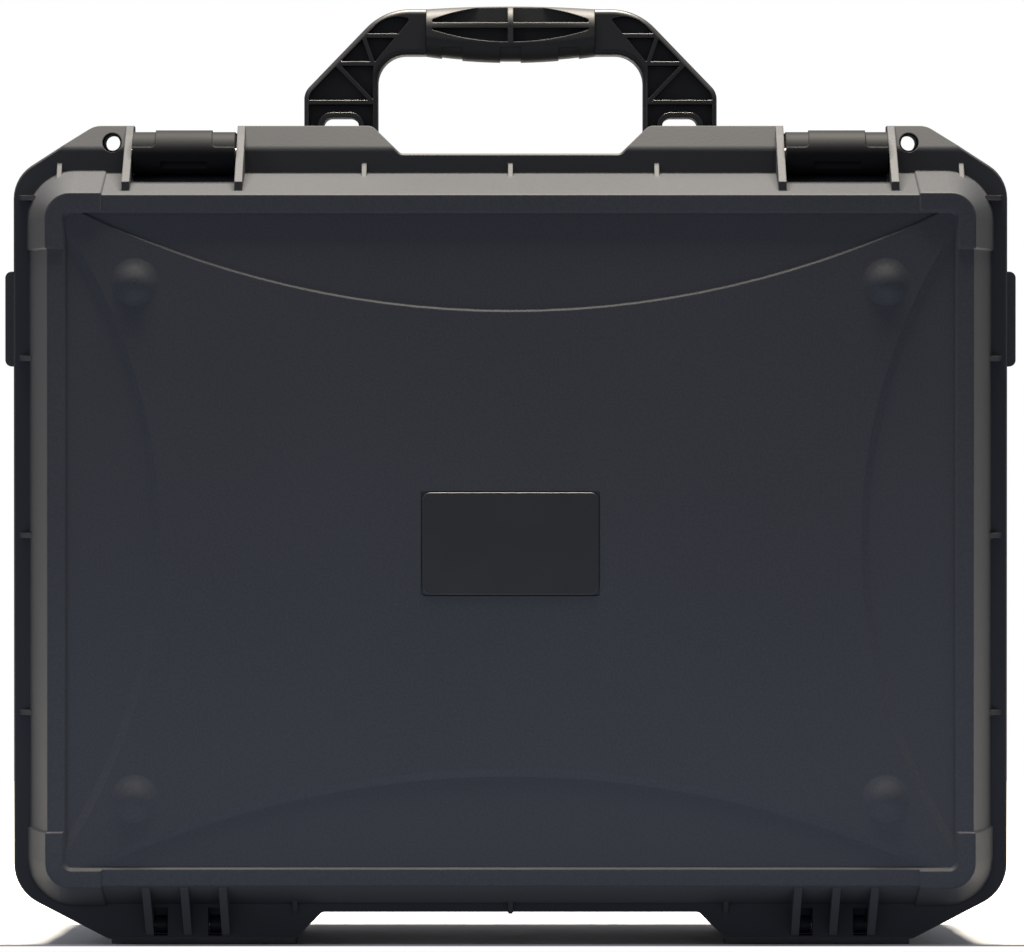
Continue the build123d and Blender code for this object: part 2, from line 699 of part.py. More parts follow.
def strap_loop(side):
    """Loop for a shoulder strap, standing out behind the flange."""
    outer = FLANGE_HALF + LOOP_PROUD
    low = MIDDLE + LOOP_Z - LOOP_HEIGHT / 2
    high = low + LOOP_HEIGHT
    inner = WALL_HALF - BURIED
    ring = rectangle(inner, outer, low, high, LOOP_CORNER)
    ring -= rectangle(inner - MARGIN, outer - LOOP_BAR, low + LOOP_BAR, high - LOOP_BAR)
    root = rectangle(inner - LOOP_CORNER, inner + LOOP_CORNER, low, low + LOOP_BAR)
    root += rectangle(inner - LOOP_CORNER, inner + LOOP_CORNER, high - LOOP_BAR, high)
    loop = slab(ring + root, PART + LOOP_Y, PART + LOOP_Y + LOOP_THICK)
    return loop if side > 0 else mirror(loop, about=Plane.YZ)


def hinge_knuckles(side):
    """Two arms that come down from the base's flange and hold a hinge pin."""
    leave = radians(ARM_ANGLE)
    arm = polygon(
        (BASE_TOP, HINGE_Z),
        (BASE_TOP, FLANGE_LOW + BURIED),
        (BASE_LIP, FLANGE_LOW + BURIED),
        (PART + KNUCKLE_RADIUS * cos(leave), HINGE_Z + KNUCKLE_RADIUS * sin(leave)),
        (PART + KNUCKLE_RADIUS / 2, HINGE_Z),
    )
    knuckles = []
    for left, right in hinge_windows(side):
        knuckles.append(prism(arm, left + KNUCKLE_GAP, right - KNUCKLE_GAP))
        knuckles.append(rod(PART, HINGE_Z, KNUCKLE_RADIUS, left + KNUCKLE_GAP, right - KNUCKLE_GAP))
    return knuckles


def foot(side):
    """Ribbed foot under the base: a sole on cross webs and long ribs."""
    left, right = sorted((side * PLATE_INNER, side * PLATE_OUTER))

    def wall_low(y):
        return WALL_LOW + (y - BASE_LIP) * BASE_SLOPE + BURIED

    web = polygon(
        (FOOT_FRONT, PLATE_LOW),
        (FOOT_BACK, PLATE_LOW),
        (FOOT_BACK, wall_low(FOOT_BACK)),
        (FOOT_FRONT, wall_low(FOOT_FRONT)),
    )
    block = prism(web, left, right)
    bay = (right - left - FOOT_RIB * FOOT_RIBS) / (FOOT_RIBS - 1)
    for i in range(FOOT_RIBS - 1):
        start = left + FOOT_RIB + i * (bay + FOOT_RIB)
        hollow = rectangle(start, start + bay, PLATE_LOW + FOOT_SOLE, WALL_HIGH)
        block -= slab(hollow, FOOT_FRONT + FOOT_RIB, FOOT_BACK + MARGIN)
    return block


def make_base_shell():
    base = base_block()
    base += base_block(GUARD_WALL) & corners(BACK - BASE_GUARD_DEPTH, BACK + MARGIN)
    half = WALL_HALF - BASE_WALL_DEPTH * BASE_SLOPE - BACK_BORDER
    half_z = WALL_HEIGHT / 2 - BASE_WALL_DEPTH * BASE_SLOPE - BACK_BORDER
    back_panel = rectangle(-half, half, MIDDLE - half_z, MIDDLE + half_z, BACK_CORNER)
    base -= slab(back_panel, BACK - BACK_DROP, BACK + MARGIN)
    for side in (-1, 1):
        for level in (-1, 1):
            x, z = side * DOME_X, MIDDLE + level * DOME_Z
            base -= bore(x, z, DISH_WIDTH / 2, BACK - BACK_DROP - DISH_DROP, BACK + MARGIN)

    flange = slab(flange_outline(hinge_plates=False), BASE_TOP, BASE_LIP)
    flange = chamfer(flange.faces().sort_by(Axis.Y)[-1].edges(), LIP_EDGE)
    for side in (-1, 1):
        flange -= flange_notch(side, BASE_TOP - MARGIN, BASE_LIP + MARGIN)
        x = side * LATCH_X
        swing = slab(
            rectangle(x - NOTCH_HALF, x + NOTCH_HALF, WALL_HIGH, NOTCH_FLOOR + MARGIN),
            BASE_TOP,
            BASE_LIP + MARGIN,
        )
        flange -= swing - rod(LATCH_Y, LATCH_Z, KEEPER_REACH, x - NOTCH_HALF, x + NOTCH_HALF)
    base += flange
    tongue = walls(GROOVE_OUT - TONGUE_GAP) - walls(GROOVE_OUT - GROOVE_WIDTH + TONGUE_GAP)
    base += slab(tongue, PART - GROOVE_DEPTH + GASKET_THICK, BASE_TOP + BURIED)

    base += gussets(BASE_LIP, 1, BASE_SLOPE, heel=(0.0,))
    for side in (-1, 1):
        base += [keeper(side), handle_lug(side), strap_loop(side), foot(side)]
        base += hinge_knuckles(side)
    base += post(VENT_BOSS, MIDDLE, VENT_TOP)

    inside = base_inside()
    inside -= post(VENT_BOSS, VENT_UNDER, WALL_HIGH)
    base -= inside
    base -= post(VENT_STEM + SNUG, VENT_UNDER - MARGIN, VENT_TOP + MARGIN)

    base -= padlock_holes(BASE_TOP - MARGIN, BASE_LIP + MARGIN)
    for side in (-1, 1):
        x = side * FORK_X
        base -= rod(PIVOT_Y, PIVOT_Z, HANDLE_PIN_RADIUS + SNUG, x - FORK_WIDTH, x + FORK_WIDTH)
        base -= rod(PART, HINGE_Z, HINGE_PIN_RADIUS + SNUG, *pin_span(side))
    return base


def make_foot_pad(side, rear):
    left, right = sorted((side * PLATE_INNER, side * PLATE_OUTER))
    front = FOOT_BACK - PAD_LENGTH if rear else FOOT_FRONT
    pad = slab(rectangle(left, right, 0, PAD_THICK), front, front + PAD_LENGTH)
    return fillet(pad.edges().filter_by(Axis.Z), PAD_THICK / 2)


def make_hinge_pin(side):
    left, right = pin_span(side)
    pin = rod(PART, HINGE_Z, HINGE_PIN_RADIUS, left, right)
    return chamfer(pin.edges().filter_by(GeomType.CIRCLE), HINGE_PIN_RADIUS / 5)


def make_latch_pin(side):
    half = NOTCH_HALF + LATCH_EAR
    x = side * LATCH_X
    pin = rod(LATCH_Y, LATCH_Z, LATCH_PIN_RADIUS, x - half, x + half)
    return chamfer(pin.edges().filter_by(GeomType.CIRCLE), LATCH_PIN_RADIUS / 5)


def make_latch(side):
    """Latch with a round barrel in front, a lever over the flange and a hook behind it."""
    x = side * LATCH_X
    left, right = x - LATCH_HALF, x + LATCH_HALF
    top = LATCH_Z + BARREL_RADIUS - BARREL_STEP
    barrel = rod(LATCH_Y, LATCH_Z, BARREL_RADIUS, left, right)
    for hand in (-1, 1):
        span = sorted((x + hand * BARREL_PAD / 2, x + hand * (LATCH_HALF + BARREL_CORNER)))
        shoulder = rectangle(*span, LATCH_Z + BARREL_LEDGE, top + BARREL_RADIUS, BARREL_CORNER)
        cut = slab(shoulder, LATCH_Y - BARREL_RADIUS, LATCH_Y + BARREL_RADIUS)
        barrel -= cut - rod(LATCH_Y, LATCH_Z, BARREL_RADIUS - BARREL_STEP, *span)
    lever_round = (BARREL_RADIUS - BARREL_STEP - LEVER_UNDER) / 3
    lever = rounded_polygon(
        [
            (LATCH_Y, LATCH_Z + LEVER_UNDER),
            (LATCH_Y + LEVER_LENGTH, LATCH_Z + LEVER_UNDER),
            (LATCH_Y + LEVER_LENGTH, top),
            (LATCH_Y, top),
        ],
        [0, lever_round, lever_round, 0],
    )
    latch = barrel + prism(lever, left, right)
    hook = polygon(
        (LATCH_Y + HOOK_REACH / 2, LATCH_Z + LEVER_UNDER + BURIED),
        (LATCH_Y + HOOK_REACH / 2, LATCH_Z - HOOK_FALL),
        (LATCH_Y + HOOK_REACH + HOOK_THICK, LATCH_Z - HOOK_FALL),
        (LATCH_Y + HOOK_REACH + HOOK_THICK, LATCH_Z + LEVER_UNDER + BURIED),
    )
    hooked = prism(hook, left, right)
    hooked &= rod(LATCH_Y, LATCH_Z, HOOK_REACH + HOOK_THICK, left, right)
    hooked -= rod(LATCH_Y, LATCH_Z, HOOK_REACH, left, right)
    latch += hooked
    slot_z = LATCH_Z - SLOT_FALL
    slot_y = LATCH_Y - sqrt(BARREL_RADIUS**2 - SLOT_FALL**2) + SLOT_DEEP
    slot = rectangle(x - SLOT_WIDTH / 2, x + SLOT_WIDTH / 2, slot_z - SLOT_HIGH / 2, slot_z + SLOT_HIGH / 2)
    latch -= slab(slot, LATCH_Y - 2 * BARREL_RADIUS, slot_y)
    latch -= rod(LATCH_Y, LATCH_Z, LATCH_PIN_RADIUS + RUNNING, left, right)
    return latch


def bar(start, end, width):
    """Flat strip between two points of an X-Z sketch."""
    run = (end[0] - start[0], end[1] - start[1])
    place = Pos((start[0] + end[0]) / 2, (start[1] + end[1]) / 2)
    return place * Rot(0, 0, degrees(atan2(run[1], run[0]))) * Rectangle(hypot(*run), width)


def arm_pocket():
    """Hollow between the ribs of the right arm, by its distance above the pivot."""
    outer = HANDLE_OUTER - HANDLE_RIM
    inner = HANDLE_INNER + HANDLE_RIM
    low = PIVOT_Z + FORK_CORNER + 2 * HANDLE_PIN_RADIUS
    knee = PIVOT_Z + HANDLE_KNEE - HANDLE_RIM / 2
    bend = BAR_LOW - GRIP_BELLY - HANDLE_RIM / 2
    tip = BAR_TOP - HANDLE_RIM
    tip_x = HANDLE_OUTER - HANDLE_SLANT - HANDLE_RIM / 2
    hollow = rounded_polygon(
        [
            (inner, low),
            (outer, low),
            (outer, knee),
            (tip_x, tip),
            (tip_x - 5 * HANDLE_RIM, tip - HANDLE_RIM),
            (inner, bend),
        ],
        [POCKET_ROUND, POCKET_ROUND, POCKET_KNEE, POCKET_TIP, POCKET_ROUND, POCKET_BEND],
    )
    rim_half = FORK_WIDTH / 2 + FORK_RIM
    rim_top = PIVOT_Z + FORK_TOP + FORK_RIM
    hollow -= rectangle(FORK_X - rim_half, FORK_X + rim_half, PIVOT_Z, rim_top, FORK_CORNER + FORK_RIM)
    levels = [PIVOT_Z + FORK_TOP + RIB_OVER_FORK, *(BAR_TOP - fall for fall in RIBS_UNDER_TOP)]
    for z in levels:
        hollow -= bar((HANDLE_SLANT, z), (HANDLE_OUTER, z), HANDLE_RIB)
    for low, high, share in zip(levels, levels[1:], BRACE_ENDS):
        hollow -= bar((inner, low), (HANDLE_OUTER - share * HANDLE_SLANT, high), HANDLE_RIB)
    return hollow


def make_handle_frame():
    low = PIVOT_Z - HANDLE_THICK / 2
    outline = rounded_polygon(
        mirrored(
            [
                (HANDLE_INNER, low),
                (HANDLE_OUTER, low),
                (HANDLE_OUTER, PIVOT_Z + HANDLE_KNEE),
                (HANDLE_OUTER - HANDLE_SLANT, BAR_TOP),
            ]
        )
        + [(-HANDLE_INNER, BAR_LOW), (HANDLE_INNER, BAR_LOW)],
        [0, 0, KNEE_ROUND, BAR_END_ROUND, BAR_END_ROUND, KNEE_ROUND, 0, 0, CROTCH_ROUND, CROTCH_ROUND],
    )
    front = PIVOT_Y - HANDLE_THICK / 2
    back = PIVOT_Y + HANDLE_THICK / 2
    frame = slab(outline, front, back)
    ends = frame.faces().sort_by(Axis.Y)
    frame = fillet(ends[0].edges() + ends[-1].edges(), HANDLE_ROUND)
    leg = rectangle(front, back, PIVOT_Z, BAR_TOP + MARGIN)
    leg += Pos(PIVOT_Y, PIVOT_Z) * Circle(HANDLE_THICK / 2)
    frame &= prism(leg, -HANDLE_OUTER, HANDLE_OUTER)
    frame -= slab(
        rectangle(-GRIP_HALF, GRIP_HALF, BAR_LOW - MARGIN, BAR_TOP + MARGIN), front - MARGIN, back + MARGIN
    )
    core = rectangle(-GRIP_HALF - BURIED, GRIP_HALF + BURIED, CORE_LOW, CORE_HIGH)
    frame += slab(core, PIVOT_Y - CORE_THICK / 2, PIVOT_Y + CORE_THICK / 2)

    deep = (HANDLE_THICK - HANDLE_WEB) / 2
    hollow = slab(arm_pocket(), front - MARGIN, front + deep)
    hollow += slab(arm_pocket(), back - deep, back + MARGIN)
    half = FORK_WIDTH / 2
    fork_low = low - FORK_CORNER - MARGIN
    fork = rectangle(FORK_X - half, FORK_X + half, fork_low, PIVOT_Z + FORK_TOP, FORK_CORNER)
    hollow += slab(fork, front - MARGIN, back + MARGIN)
    hollow += rod(
        PIVOT_Y,
        PIVOT_Z,
        HANDLE_PIN_RADIUS + RUNNING,
        HANDLE_INNER - MARGIN,
        HANDLE_OUTER + MARGIN,
    )
    return frame - hollow - mirror(hollow, about=Plane.YZ)


def grip_body(inset=0.0):
    """Crowned bar of the grip, rounded along its length. inset draws its skin inwards."""
    end_top = BAR_TOP + GRIP_END - inset
    end_low = BAR_LOW - GRIP_END + inset
    crown = (0, BAR_TOP + GRIP_CROWN - inset)
    belly = (0, BAR_LOW - GRIP_BELLY + inset)
    upper = ThreePointArc((GRIP_HALF, end_top), crown, (-GRIP_HALF, end_top))
    lower = ThreePointArc((-GRIP_HALF, end_low), belly, (GRIP_HALF, end_low))
    outline = make_face(upper + Line(upper @ 1, lower @ 0) + lower + Line(lower @ 1, upper @ 0))
    body = slab(outline, PIVOT_Y - GRIP_THICK / 2 + inset, PIVOT_Y + GRIP_THICK / 2 - inset)
    ends = body.faces().sort_by(Axis.Y)
    long_edges = [e for face in (ends[0], ends[-1]) for e in face.edges() if e.length > GRIP_HALF]
    return fillet(long_edges, GRIP_ROUND - inset)


def make_handle_grip():
    """Sleeve over the handle's core, with cored lenses in front and behind and finger rests below."""
    front = PIVOT_Y - GRIP_THICK / 2
    back = PIVOT_Y + GRIP_THICK / 2
    grip = grip_body()
    high = ThreePointArc((LENS_TIP, LENS_Z), (0, LENS_Z + LENS_CROWN), (-LENS_TIP, LENS_Z))
    low = ThreePointArc((-LENS_TIP, LENS_Z), (0, LENS_Z - LENS_BELLY), (LENS_TIP, LENS_Z))
    lens = make_face(high + low) & rectangle(-LENS_HALF, LENS_HALF, BAR_LOW, BAR_TOP + GRIP_CROWN)
    lens -= rectangle(-LENS_HALF, LENS_HALF, LENS_Z - LENS_RIB / 2, LENS_Z + LENS_RIB / 2)
    lens -= rectangle(-LENS_RIB / 2, LENS_RIB / 2, PIVOT_Z, LENS_Z + LENS_CROWN)
    grip -= slab(lens, front - MARGIN, front + LENS_DEEP)
    grip -= slab(lens, back - LENS_DEEP, back + MARGIN)

    skin = grip_body() - grip_body(FINGER_DEEP)
    rest_top = LENS_Z - LENS_BELLY - LENS_RIB
    for step in (-1, 0, 1):
        x = step * FINGER_PITCH
        rest = rectangle(x - FINGER_WIDTH / 2, x + FINGER_WIDTH / 2, PIVOT_Z, rest_top)
        grip -= skin & slab(rest, front - MARGIN, back + MARGIN)
    core = rectangle(-GRIP_HALF - MARGIN, GRIP_HALF + MARGIN, CORE_LOW, CORE_HIGH)
    return grip - slab(core, PIVOT_Y - CORE_THICK / 2, PIVOT_Y + CORE_THICK / 2)


def make_handle_pin(side):
    left, right = sorted((side * (HANDLE_INNER + MARGIN), side * (HANDLE_OUTER - MARGIN)))
    pin = rod(PIVOT_Y, PIVOT_Z, HANDLE_PIN_RADIUS, left, right)
    return chamfer(pin.edges().filter_by(GeomType.CIRCLE), HANDLE_PIN_RADIUS / 5)


def make_vent_body():
    seat = VENT_TOP + VENT_SEAL
    cap = post(VENT_CAP, seat, seat + VENT_CAP_HIGH)
    cap = chamfer(cap.faces().sort_by(Axis.Z)[-1].edges(), VENT_CAP_HIGH / 4)
    coin_slot = Pos(0, PART + VENT_Y, seat + VENT_CAP_HIGH) * Box(COIN_LENGTH, COIN_WIDTH, VENT_CAP_HIGH / 2)
    return cap - coin_slot + post(VENT_STEM, VENT_UNDER - VENT_NUT - MARGIN, seat)


def make_vent_seal():
    return post(VENT_CAP - MARGIN, VENT_TOP, VENT_TOP + VENT_SEAL) - post(VENT_STEM + SNUG, 0, EAR_TOP)


def make_vent_nut():
    hexagon = RegularPolygon(VENT_NUT_FLATS / 2, 6, major_radius=False)
    nut = extrude(Pos(0, PART + VENT_Y, VENT_UNDER - VENT_NUT) * hexagon, amount=VENT_NUT)
    return nut - post(VENT_STEM + SNUG, 0, EAR_TOP)


def foam_pockets():
    """Outlines of the pockets: console and its supply below, two controllers and a small one above."""
    left = -WALL_HALF + FOAM_EDGE
    right = -left
    low = WALL_LOW + FOAM_EDGE
    split = low + CONSOLE_HEIGHT
    upper = split + FOAM_WALL
    high = WALL_HIGH - FOAM_EDGE
    supply = right - SUPPLY_WIDTH
    small = right - SMALL_WIDTH
    controller = (small - left) / 2 - FOAM_WALL
    second = left + controller + FOAM_WALL
    limits = [
        (left, supply - FOAM_WALL, low, split),
        (supply, right, low, split),
        (left, left + controller, upper, high),
        (second, second + controller, upper, high),
        (small, right, upper, high),
    ]
    return [rectangle(*limit, POCKET_CORNER) for limit in limits]


def make_base_foam_insert():
    insert = base_inside(FOAM_GAP) & slab(walls(), PART + FOAM_TOP, FOAM_FLOOR)
    for pocket in foam_pockets():
        insert -= slab(pocket, PART, FOAM_FLOOR + MARGIN)
    reach = VENT_BOSS + MARGIN
    room = rectangle(-reach, reach, VENT_UNDER - VENT_NUT - 2 * MARGIN, WALL_HIGH)
    return insert - slab(room, PART, PART + VENT_Y + reach)


def make_base_foam_pad():
    return base_inside(FOAM_GAP) & slab(walls(), FOAM_FLOOR, BASE_INSIDE)


nodes = {
    "base_shell": make_base_shell(),
    "lid_shell": make_lid_shell(),
    "lid_gasket": make_gasket(),
    "name_plate": make_name_plate(),
    "lid_foam": make_lid_foam(),
    "base_foam_insert": make_base_foam_insert(),
    "base_foam_pad": make_base_foam_pad(),
    "handle_frame": make_handle_frame(),
    "handle_grip": make_handle_grip(),
    "vent_body": make_vent_body(),
    "vent_seal": make_vent_seal(),
    "vent_nut": make_vent_nut(),
}
for hand, side in (("left", -1), ("right", 1)):
    nodes[f"hinge_pin_{hand}"] = make_hinge_pin(side)
    nodes[f"latch_{hand}"] = make_latch(side)
    nodes[f"latch_pin_{hand}"] = make_latch_pin(side)
    nodes[f"handle_pin_{hand}"] = make_handle_pin(side)
    nodes[f"foot_pad_front_{hand}"] = make_foot_pad(side, rear=False)
    nodes[f"foot_pad_rear_{hand}"] = make_foot_pad(side, rear=True)

os.makedirs("parts", exist_ok=True)
for name, piece in nodes.items():
    export_step(piece, f"parts/{name}.step")
print(f"wrote {len(nodes)} pieces")
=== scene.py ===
# %% [markdown]
# # A hard carrying case, from bare solids to a finished picture
# The case is a black moulded box for a games console. Two shells meet at a flange, the lid turns on steel
# pins at the bottom, two latches hook over the flange and a ribbed handle stands up on the base. The
# solids come from the packed frame, already in place and in metres. This lesson gives every surface a
# finish, makes the foam that lies inside, and sets up the studio.

# %% Load the frame
import json
import math
import bmesh
import bpy
from mathutils import Matrix, Vector, noise


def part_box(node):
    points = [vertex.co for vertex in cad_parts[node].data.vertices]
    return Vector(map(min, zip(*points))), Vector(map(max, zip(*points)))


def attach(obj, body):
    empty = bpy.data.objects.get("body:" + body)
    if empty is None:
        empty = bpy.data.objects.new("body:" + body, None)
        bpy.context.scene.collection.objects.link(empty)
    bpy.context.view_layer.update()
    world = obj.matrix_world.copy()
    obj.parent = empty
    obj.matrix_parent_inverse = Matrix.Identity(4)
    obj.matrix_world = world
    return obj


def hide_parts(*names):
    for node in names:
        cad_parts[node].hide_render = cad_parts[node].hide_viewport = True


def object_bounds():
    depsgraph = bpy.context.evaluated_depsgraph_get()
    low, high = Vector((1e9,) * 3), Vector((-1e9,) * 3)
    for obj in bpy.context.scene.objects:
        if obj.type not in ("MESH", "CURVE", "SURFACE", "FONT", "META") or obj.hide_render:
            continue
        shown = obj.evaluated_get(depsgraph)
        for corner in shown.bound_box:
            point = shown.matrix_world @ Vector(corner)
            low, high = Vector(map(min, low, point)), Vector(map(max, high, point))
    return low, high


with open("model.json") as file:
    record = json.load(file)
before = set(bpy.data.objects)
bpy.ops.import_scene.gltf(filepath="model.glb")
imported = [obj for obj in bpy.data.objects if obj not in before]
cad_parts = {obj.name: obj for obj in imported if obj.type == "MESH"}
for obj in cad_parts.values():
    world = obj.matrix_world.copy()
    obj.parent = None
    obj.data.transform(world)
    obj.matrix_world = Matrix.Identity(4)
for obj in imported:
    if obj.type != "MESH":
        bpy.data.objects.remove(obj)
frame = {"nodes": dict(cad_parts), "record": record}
cad_low, cad_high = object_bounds()
parts = frame["nodes"]
case_size = cad_high - cad_low
print(f"{len(parts)} solids, {case_size.x:.3f} by {case_size.y:.3f} by {case_size.z:.3f} m")

# %% [markdown]
# ## A short way to write node materials
# Every finish here is a tree of shader nodes. A tree can be drawn by hand in the shader editor, but a
# script needs three lines for each node: make it, set it, link it. A small class that does all three in
# one call keeps each finish readable, so that is what we write first.

# %% Helpers for shader nodes
SHARP = 0.72  # cosine between the rounded and the plain normal on a sharp edge
SMOOTH = 0.995  # the same where a surface counts as smooth


class Finish:
    """A material and the tree of nodes that makes it."""

    def __init__(self, name):
        self.material = bpy.data.materials.new(name)
        self.material.use_nodes = True
        self.nodes = self.material.node_tree.nodes
        self.links = self.material.node_tree.links
        self.shader = self.nodes["Principled BSDF"]
        self.place = self.add("ShaderNodeTexCoord").outputs["Object"]

    def feed(self, socket, value):
        """Link another node's output to a socket, or set the socket to a number or a colour."""
        if isinstance(value, bpy.types.NodeSocket):
            self.links.new(value, socket)
        else:
            socket.default_value = value

    def add(self, kind, sockets=(), **settings):
        """Make a node with its settings, and feed its sockets."""
        node = self.nodes.new(kind)
        for key, value in settings.items():
            setattr(node, key, value)
        for key, value in dict(sockets).items():
            self.feed(node.inputs[key], value)
        return node

    def shade(self, sockets):
        """Feed the sockets of the shader."""
        for key, value in sockets.items():
            self.feed(self.shader.inputs[key], value)

    def noise(self, scale, detail=2.0, rough=0.5, place=None):
        """Cloudy noise. A scale of 100 gives clouds of about a hundredth of a metre."""
        sockets = {"Vector": place or self.place, "Scale": scale, "Detail": detail, "Roughness": rough}
        return self.add("ShaderNodeTexNoise", sockets).outputs["Fac"]

    def stretch(self, scale):
        """Coordinates squeezed or stretched along the three axes."""
        return self.add("ShaderNodeMapping", {"Vector": self.place, "Scale": scale}).outputs["Vector"]

    def remap(self, value, low, high, start=0.0, end=1.0):
        """Turn the range from start to end into the range from low to high."""
        sockets = {"Value": value, "From Min": start, "From Max": end, "To Min": low, "To Max": high}
        return self.add("ShaderNodeMapRange", sockets).outputs["Result"]

    def mix(self, share, first, second):
        """Go from the first colour to the second as the share goes from 0 to 1."""
        node = self.add("ShaderNodeMix", data_type="RGBA")
        sockets = {socket.identifier: socket for socket in node.inputs}
        self.feed(sockets["Factor_Float"], share)
        self.feed(sockets["A_Color"], first)
        self.feed(sockets["B_Color"], second)
        return next(socket for socket in node.outputs if socket.identifier == "Result_Color")

    def combine(self, first, second, operation="ADD"):
        """Add two values, or join them by another operation."""
        return self.add("ShaderNodeMath", {0: first, 1: second}, operation=operation).outputs["Value"]

    def soft_edges(self, radius):
        """Normal rounded over near sharp edges, and a mask that is 1 on those edges."""
        rounded = self.add("ShaderNodeBevel", {"Radius": radius}, samples=4).outputs["Normal"]
        plain = self.add("ShaderNodeNewGeometry").outputs["Normal"]
        turn = self.add("ShaderNodeVectorMath", {0: rounded, 1: plain}, operation="DOT_PRODUCT")
        return rounded, self.remap(turn.outputs["Value"], 1.0, 0.0, SHARP, SMOOTH)

    def near(self, points, radius):
        """Mask that is 1 within a radius of any of the points."""
        gaps = []
        for point in points:
            ruler = self.add("ShaderNodeVectorMath", {0: self.place, 1: point}, operation="DISTANCE")
            gaps.append(ruler.outputs["Value"])
        nearest = gaps[0]
        for gap in gaps[1:]:
            nearest = self.combine(nearest, gap, "MINIMUM")
        return self.combine(nearest, radius, "LESS_THAN")

    def bump(self, height, strength, depth, normal=None):
        """Normal of a surface with small heights on it."""
        sockets = {"Height": height, "Strength": strength, "Distance": depth}
        if normal is not None:
            sockets["Normal"] = normal
        return self.add("ShaderNodeBump", sockets).outputs["Normal"]


def grey(level, blue=0.0):
    """Near-black colour that leans a little to blue."""
    return (level * (1 - blue), level, level * (1 + 3 * blue), 1.0)


print("helpers ready:", ", ".join(name for name in vars(Finish) if not name.startswith("_")))

# %% [markdown]
# ## Moulded plastic
# The shells are polypropylene, moulded in a spark-etched tool: a black with a trace of blue, a grain of
# about a millimetre, and edges that are rubbed smoother where hands and floors have met them. The edges
# are also paler, partly as rubbed wear and partly as a painted highlight.
# Pictures of plastic could be wrapped round the solids, but every face would have to be unwrapped first.
# Noise in the object's own coordinates needs no unwrapping and stays sharp close up, so two sizes of it
# make the grain. The bevel node rounds the normal at sharp edges, so that they catch the light as a
# moulded radius does, and the same node gives the mask for the paler edges: rubbed wear and a painted
# highlight.

# %% Write the finish of moulded plastic
EDGE_RADIUS = 0.0007
BLEND = 0.0012  # width of the change into the polished span, which is smoother and painted darker as shade
PITS = 2.7  # pits to a pebble
PIT_DEPTH = 0.4  # of the height of a pebble
GRAIN_DEPTH = 0.2  # of the width of a pebble
GRAIN_STRENGTH = 0.14
EDGE_POLISH = 0.08  # rubbed edges are smoother by this much
SPAN_POLISH = 0.04  # and the polished span by this much
SPAN_SHADE_TONE = 0.7  # painted shade: the span's colour is this share of the colour of the grained plastic
TIP_RADIUS = 0.0022


def moulded_plastic(name, level, rough, grain, edge_wear_and_highlight, shine=0.5, polished_and_shaded=None, tips=None):
    """Etched black plastic. grain is the width of the pebbles in metres. In the span of Y that is given
    the plastic is a little smoother, and its colour is painted darker as shade between the shells. Sharp
    edges are paler, partly as rubbed wear and partly as a painted highlight. Around the points in tips the
    facets' own normal is used."""
    finish = Finish(name)
    clouds = finish.noise(9.0, 3.0)
    scuffs = finish.noise(60.0, 3.0)
    pebbles = finish.noise(1.0 / grain, 2.0, 0.6)
    pits = finish.noise(PITS / grain, 1.0)
    height = finish.combine(pebbles, finish.combine(pits, PIT_DEPTH, "MULTIPLY"))
    normal, edge = finish.soft_edges(EDGE_RADIUS)
    # Mask for the paler sharp edges, broken up by scuffs: partly rubbed wear, partly a painted highlight.
    wear_and_highlight = finish.combine(edge, finish.remap(scuffs, 0.35, 1.0, 0.3, 0.7), "MULTIPLY")
    tone = finish.mix(clouds, grey(level * 0.86, 0.05), grey(level * 1.14, 0.06))
    tone = finish.mix(finish.remap(pebbles, 0.0, 0.55, 0.35, 0.75), tone, grey(level * 1.6, 0.05))
    tone = finish.mix(wear_and_highlight, tone, grey(edge_wear_and_highlight, 0.02))
    gloss = finish.remap(clouds, rough - 0.03, rough + 0.05, 0.3, 0.7)
    gloss = finish.combine(gloss, finish.combine(edge, EDGE_POLISH, "MULTIPLY"), "SUBTRACT")
    # The polished span is smoother, and its colour is painted darker as shade between the shells.
    if polished_and_shaded:
        depth = finish.add("ShaderNodeSeparateXYZ", {"Vector": finish.place}).outputs["Y"]
        behind = finish.remap(depth, 0.0, 1.0, polished_and_shaded[0], polished_and_shaded[0] + BLEND)
        before = finish.remap(depth, 1.0, 0.0, polished_and_shaded[1] - BLEND, polished_and_shaded[1])
        inside = finish.combine(behind, before, "MULTIPLY")
        tone = finish.mix(inside, tone, grey(level * SPAN_SHADE_TONE, 0.08))
        gloss = finish.combine(gloss, finish.combine(inside, SPAN_POLISH, "MULTIPLY"), "SUBTRACT")
    if tips:
        facet = finish.add("ShaderNodeNewGeometry").outputs["True Normal"]
        normal = finish.mix(finish.near(tips, TIP_RADIUS), normal, facet)
    finish.shade(
        {
            "Base Color": tone,
            "Roughness": gloss,
            "IOR": 1.49,
            "Specular IOR Level": shine,
            "Normal": finish.bump(height, GRAIN_STRENGTH, grain * GRAIN_DEPTH, normal),
        }
    )
    return finish.material


# The paler edges are partly rubbed wear and partly a painted highlight; the polished span is painted
# darker as shade.
print("moulded plastic: grain, rubbed edges and a polished span")

# %% [markdown]
# ## Four black plastics
# The shells, the latches, the handle and the vent are moulded apart and don't match quite: the handle is
# blacker and glossier than the shells. One function with a few numbers for each keeps them a family. The
# flange is a little smoother than the walls and lies in shade between the shells, so the shell gets a
# polished span there that is smoother and whose colour is painted darker as shade. The four round bosses
# are the foremost points of the lid. At their very tops many thin triangles meet in one point, where the
# smoothed normal is not to be trusted, so the finish uses the facets' own normal there.

# %% Make the moulded plastics
FLANGE_FRONT = -0.0485
FLANGE_DEPTH = 0.0115  # of the base's half of the flange

